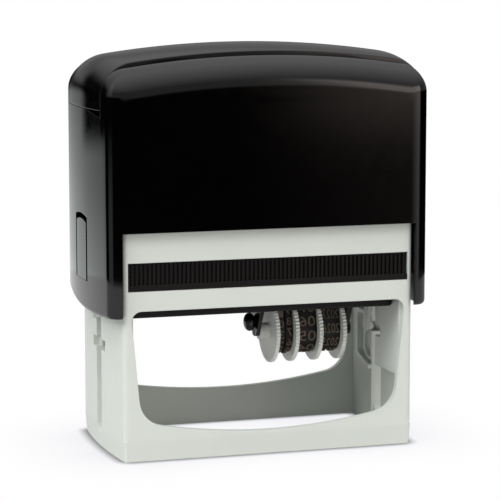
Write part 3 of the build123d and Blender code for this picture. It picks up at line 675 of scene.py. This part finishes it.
def cap_room():
    """What the cap takes out of the cover, down to the seat, with a step to pry it off."""
    parting_z = CAP_LOW_Z - CAP_PARTING
    room = through_x("cap_room", [
        (-CAP_HALF_D, parting_z - PRY_DROP),
        (-PRY_START_Y, parting_z),
        (CAP_HALF_D, parting_z),
        (CAP_HALF_D, CUT_ABOVE_Z),
        (-CAP_HALF_D, CUT_ABOVE_Z),
    ])
    carve(room, across_cap("seat", SEAT_HALF_W, SEAT_DROP, SKIRT_CEILING_Z))
    return room


def cover_piece():
    cover = outer_bulk("cover_body")
    carve(cover, through_x("wings", wing_outline()), "INTERSECT")
    carve(cover, skirt_hollow())
    carve(cover, upper_hollow())
    carve(cover, cap_room())
    carve(cover, box_piece("front_to_rear", (-WING_EDGE_X, -CUT_BEYOND_Y, CUT_BELOW_Z),
                           (WING_EDGE_X, CUT_BEYOND_Y, PANEL_LOW_Z)))
    opening = tongue_outline(TONGUE_HALF_D + TONGUE_SLOT, TONGUE_LOW_Z - TONGUE_ROOT_GAP,
                             TONGUE_TOP_Z + TONGUE_TOP_GAP)
    carve(cover, through_x("tongue_openings", opening))
    return cover


def tongue_piece(side, end):
    tongue = outer_bulk(f"tongue_{end}")
    outline = tongue_outline(TONGUE_HALF_D - TONGUE_THINNED, TONGUE_LOW_Z, TONGUE_TOP_Z)
    near_x, far_x = sorted((0.0, CUT_BESIDE_X * side))
    carve(tongue, prism_x("tongue", outline, near_x, far_x), "INTERSECT")
    carve(tongue, skirt_hollow())
    root_z = (TONGUE_CUT_Z[0], TONGUE_ROOT_TOP_Z)
    for inner_x, height in ((TONGUE_INNER_X, TONGUE_CUT_Z), (TONGUE_ROOT_INNER_X, root_z)):
        carve(tongue, end_box("inside", side, (TONGUE_CUT_X, inner_x), TONGUE_CUT_Y, height))
    return tongue


def cap_piece():
    flat_y = CAP_HALF_D - CAP_GAP - CAP_BEVEL
    turns = [math.pi / 2 * i / CAP_BEVEL_STEPS for i in range(CAP_BEVEL_STEPS + 1)]
    bevel = [(flat_y + CAP_BEVEL * math.sin(a), CAP_BEVEL * (1 - math.cos(a))) for a in turns]
    middle = [(i * flat_y / CAP_STEPS, 0.0) for i in range(1 - CAP_STEPS, CAP_STEPS)]
    rings = []
    for y, inset in [(-y, inset) for y, inset in reversed(bevel)] + middle + bevel:
        on_top = min(abs(y), flat_y)
        edge_z = CAP_TOP_Z - CAP_CROWN * (on_top / CAP_HALF_D) ** 2 - inset
        rings.append(arch_ring(y, bowed_half_width(on_top, inset), edge_z, CAP_CORNER_R - inset, CAP_LOW_Z))
    cap = skin("cap", rings)
    carve(cap, across_cap("under", SEAT_HALF_W + CAP_FIT, SEAT_DROP - CAP_FIT, CAP_LOW_Z - CAP_UNDER_BELOW))
    return cap


def set_cover():
    finish_piece(cover_piece(), GLOSS, "cover", "cover_shell")
    for side, end in ENDS:
        finish_piece(tongue_piece(side, end), GLOSS, f"{end}_tongue", f"lock_tongue_{end}")
    finish_piece(cap_piece(), GLOSS, "cover", "top_cap")


def set_ends():
    """A dark rib and liner behind each lock tongue, painted shade seen through its opening, and the webs in
    the frame's end walls.
    """
    shade_rib_z = (SHADE_RIB_LOW_Z, SHADE_SHEET_TOP_Z)
    shade_sheet_z = (SHADE_SHEET_LOW_Z, SHADE_SHEET_TOP_Z)
    for side, end in ENDS:
        # A dark rib and liner: painted shade that hides the lit frame seen through the tongue's opening
        shade_rib = end_box(f"tongue_shade_rib_{end}", side, SHADE_RIB_X, SHADE_RIB_Y, shade_rib_z)
        finish_piece(shade_rib, SATIN, "cover")
        shade_sheet = end_box(f"tongue_shade_sheet_{end}", side, SHADE_SHEET_X, SHADE_SHEET_Y, shade_sheet_z)
        finish_piece(shade_sheet, SATIN, "cover")
        web_x = (WEB_X[end], WEB_X[end] + WEB_T)
        for name, front_y in WEB_FRONT_Y.items():
            web = end_box(f"notch_web_{end}_{name}", side, web_x, (front_y, front_y + WEB_D), WEB_Z)
            finish_piece(web, SILVER, "frame")


# Date bracket, with slim arms and a round knob
def arm(name, reach):
    """An arm of the bracket: it widens from its foot to its shoulder, and ends in a neck."""
    half = [ARM_FOOT, ARM_SHOULDER, (ARM_TOP[0], ARM_SHOULDER[1]), ARM_TOP]
    return prism_x(name, half + [(-y, z) for y, z in reversed(half)], *reach)


def knob():
    turns = [math.pi * i / KNOB_STEPS for i in range(KNOB_STEPS_SEEN)]
    ball = [(KNOB_X - KNOB_HALF_W * math.cos(a), max(KNOB_LEAST_R, KNOB_R * math.sin(a))) for a in turns]
    return turned_x("knob", ball + [(x, KNOB_NECK_R) for x in KNOB_NECK_X], KNOB_Z)


def set_bracket():
    bridge = box_piece("bridge", BRIDGE_LOW, BRIDGE_HIGH)
    parts = [arm("arm_left", ARM_LEFT_X), arm("arm_right", ARM_RIGHT_X), bridge, knob()]
    finish_piece(join("bracket", parts), SHINE, "platen_unit", "date_bracket")
    profile = [(HUB_X[0], HUB_R - HUB_BEVEL), (HUB_X[0] + HUB_BEVEL, HUB_R), (HUB_X[1], HUB_R)]
    finish_piece(turned_x("day_tens_hub", profile, AXLE_Z), WHEEL, "day_tens")


# Return spring, drawn at one length, though the real one shortens while the cover goes down
def spring_height(turn):
    """Height of the wire's middle at a number of turns from its lower end."""
    if turn < 1:
        return SPRING_LOW_Z + SPRING_CLOSED_RISE * turn
    if turn > SPRING_TURNS - 1:
        return SPRING_TOP_Z - SPRING_CLOSED_RISE * (SPRING_TURNS - turn)
    open_rise = SPRING_TOP_Z - SPRING_LOW_Z - 2 * SPRING_CLOSED_RISE
    return SPRING_LOW_Z + SPRING_CLOSED_RISE + open_rise * (turn - 1) / (SPRING_TURNS - 2)


def spring_piece():
    sides = [2 * math.pi * i / SPRING_SIDES for i in range(SPRING_SIDES)]
    rings = []
    for step in range(SPRING_TURNS * SPRING_STEPS + 1):
        turn = step / SPRING_STEPS
        a = 2 * math.pi * turn
        z = spring_height(turn)
        ring = []
        for b in sides:
            r = SPRING_COIL_R + SPRING_WIRE_R * math.cos(b)
            ring.append((r * math.cos(a), r * math.sin(a), z + SPRING_WIRE_R * math.sin(b)))
        rings.append(ring)
    return skin("spring", rings)


def set_spring():
    spring = finish_piece(spring_piece(), STEEL, "frame", "return_spring", sharp=60.0)
    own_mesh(spring)


# Felt and foam, whose edges are rounded
def rounded_ring(half_w, half_d, z):
    """A rectangle with round corners at a height."""
    ring = []
    for quarter, (across, back) in enumerate(((1, 1), (-1, 1), (-1, -1), (1, -1))):
        for i in range(PAD_CORNER_STEPS + 1):
            a = math.pi / 2 * (quarter + i / PAD_CORNER_STEPS)
            x = across * (half_w - PAD_CORNER_R) + PAD_CORNER_R * math.cos(a)
            y = back * (half_d - PAD_CORNER_R) + PAD_CORNER_R * math.sin(a)
            ring.append((x, y, z))
    return ring


def pad_piece(name, size, edge_r):
    half_w, half_d, low_z, high_z = size
    edge = [(edge_r * (1 - math.cos(a)), edge_r * (1 - math.sin(a))) for a in PAD_EDGE_TURNS]
    levels = [(low_z + rise, inset) for rise, inset in edge]
    levels += [(high_z - rise, inset) for rise, inset in reversed(edge)]
    return skin(name, [rounded_ring(half_w - inset, half_d - inset, z) for z, inset in levels])


def set_pads():
    felt = pad_piece("felt_pad", FELT_SIZE, FELT_EDGE_R)
    finish_piece(felt, FELT, "cassette", "ink_felt")
    foam = pad_piece("foam_cushion", FOAM_SIZE, FOAM_EDGE_R)
    carve(foam, box_piece("date_opening", DATE_OPENING_LOW, DATE_OPENING_HIGH))
    finish_piece(foam, FOAM, "platen_unit", "plate_cushion")


# Raised figures on the date bands, as mirrored type that follows each band round its spool and up its flank
def on_band(s, lift):
    """A band's outer face in depth and height, at a length s along it from its lowest line to the front."""
    turn = min(s / BAND_R, FLANK_TURN)
    rest = s - turn * BAND_R
    out = (-math.sin(turn), -math.cos(turn))
    along = (-math.cos(turn), math.sin(turn))
    r = BAND_R + lift
    return (out[0] * r + along[0] * rest, AXLE_Z + out[1] * r + along[1] * rest)


def word_mesh(word):
    """A word as a thick letter mesh, in its own units."""
    curve = bpy.data.curves.new("row", "FONT")
    curve.body = word
    curve.extrude = 0.5
    curve.resolution_u = 3
    item = bpy.data.objects.new("row", curve)
    bpy.context.collection.objects.link(item)
    bpy.context.view_layer.update()
    shape = bpy.data.meshes.new_from_object(item.evaluated_get(bpy.context.evaluated_depsgraph_get()))
    bpy.data.objects.remove(item)
    return shape


def shares(values):
    """Values as shares of their spread, from -0.5 to 0.5."""
    low = min(values)
    spread = max(values) - low
    return [(value - low) / spread - 0.5 for value in values]


def figures_piece(name, middle_x, width, height, pitch, first, words):
    """Sets one word per row round a band."""
    points = []
    faces = []
    for row, word in enumerate(words):
        shape = word_mesh(word)
        start = len(points)
        across = shares([v.co.x for v in shape.vertices])
        up = shares([v.co.y for v in shape.vertices])
        for v, share_x, share_y in zip(shape.vertices, across, up):
            lift = FIGURE_LIFT if v.co.z > 0 else FIGURE_ROOT
            y, z = on_band(first + row * pitch + share_y * height, lift)
            points.append((middle_x - share_x * width, y, z))
        faces += [[start + i for i in face.vertices] for face in shape.polygons]
        bpy.data.meshes.remove(shape)
    return new_piece(name, points, faces)


def set_figures():
    for name, values in FIGURES.items():
        finish_piece(figures_piece(name, *values), FIGURE, "platen_unit")


# Floor, world and lamps
def set_floor():
    """White to the camera, shaded where the object stands; pale to the light; clear from below."""
    bpy.ops.mesh.primitive_circle_add(vertices=FLOOR_SIDES, radius=FLOOR_R, fill_type="NGON")
    floor = bpy.context.object
    floor.name = "floor"
    material = bpy.data.materials.new("floor")
    material.use_nodes = True
    t = Tree(material.node_tree)
    out = t.add("ShaderNodeOutputMaterial")
    diffuse = t.add("ShaderNodeBsdfDiffuse")
    diffuse.inputs["Color"].default_value = FLOOR_COLOR
    shades = []
    for reach, depth in (CONTACT_SHADE, WIDE_SHADE):
        near = t.add("ShaderNodeAmbientOcclusion", samples=SHADE_SAMPLES)
        near.inputs["Distance"].default_value = reach
        shades.append(t.ramp(near.outputs["AO"], SHADE_FULL, 1.0, 1.0 - depth, 1.0))
    soft = t.mix(t.math("SUBTRACT", 1.0, shades[1]), WHITE, SHADE_COLOR)
    glow = t.add("ShaderNodeEmission")
    t.link(t.mix(1.0, soft, shades[0], "MULTIPLY"), glow.inputs["Color"])
    from_above = t.pick(t.seen(), diffuse.outputs[0], glow.outputs[0])
    clear = t.add("ShaderNodeBsdfTransparent").outputs[0]
    below = t.add("ShaderNodeNewGeometry").outputs["Backfacing"]
    t.link(t.pick(below, from_above, clear), out.inputs[0])
    floor.data.materials.append(material)


def room_color(t):
    """The room's colour in every direction: a sky, a dark corner, and the panels."""
    way = t.add("ShaderNodeSeparateXYZ")
    t.link(t.add("ShaderNodeTexCoord").outputs["Generated"], way.inputs[0])
    rise = t.ramp(way.outputs["Z"], *SKY_RISE)
    horizon = t.ramp(way.outputs["Z"], *SKY_HORIZON, smooth=True)
    behind = t.ramp(way.outputs["Y"], *SKY_BEHIND)
    azimuth = t.math("ARCTAN2", way.outputs["X"], t.math("MULTIPLY", way.outputs["Y"], -1.0))
    height = t.math("ARCSINE", way.outputs["Z"])
    dark_to, pale_from = [math.radians(edge) for edge in DARK_HEIGHT]
    corner = t.math("MULTIPLY", t.window(azimuth, DARK_AZIMUTH),
                    t.ramp(height, dark_to, pale_from, DARK_DEPTH, 0.0, True))
    sky = t.math("MULTIPLY", t.math("MULTIPLY", rise, horizon),
                 t.math("MULTIPLY", behind, t.math("SUBTRACT", 1.0, corner)))
    color = t.mix(1.0, WHITE, sky, "MULTIPLY")
    for across, up, tint in PANELS:
        inside = t.math("MULTIPLY", t.window(azimuth, across), t.window(height, up))
        color = t.mix(inside, color, rgba(tint), "ADD")
    return color


def set_world():
    """White where the camera sees it; for light and reflections the room."""
    world = bpy.data.worlds.new("room")
    bpy.context.scene.world = world
    world.use_nodes = True
    t = Tree(world.node_tree)
    out = t.add("ShaderNodeOutputWorld")
    room = t.add("ShaderNodeBackground")
    t.link(room_color(t), room.inputs["Color"])
    white = t.add("ShaderNodeBackground")
    white.inputs["Color"].default_value = WHITE
    t.link(t.pick(t.seen(), room.outputs[0], white.outputs[0]), out.inputs[0])


def set_lamps():
    for name, (place, watts) in LAMPS.items():
        data = bpy.data.lights.new(name, "AREA")
        data.shape = "RECTANGLE"
        data.size = LAMP_SIZE
        data.size_y = LAMP_SIZE
        data.energy = watts
        lamp = bpy.data.objects.new(name, data)
        bpy.context.collection.objects.link(lamp)
        point_at(lamp, place, LAMP_AIM)
        lamp.visible_glossy = False


set_camera()
dress_nodes()
set_cover()
set_ends()
set_bracket()
set_spring()
set_pads()
set_figures()
set_floor()
set_world()
set_lamps()
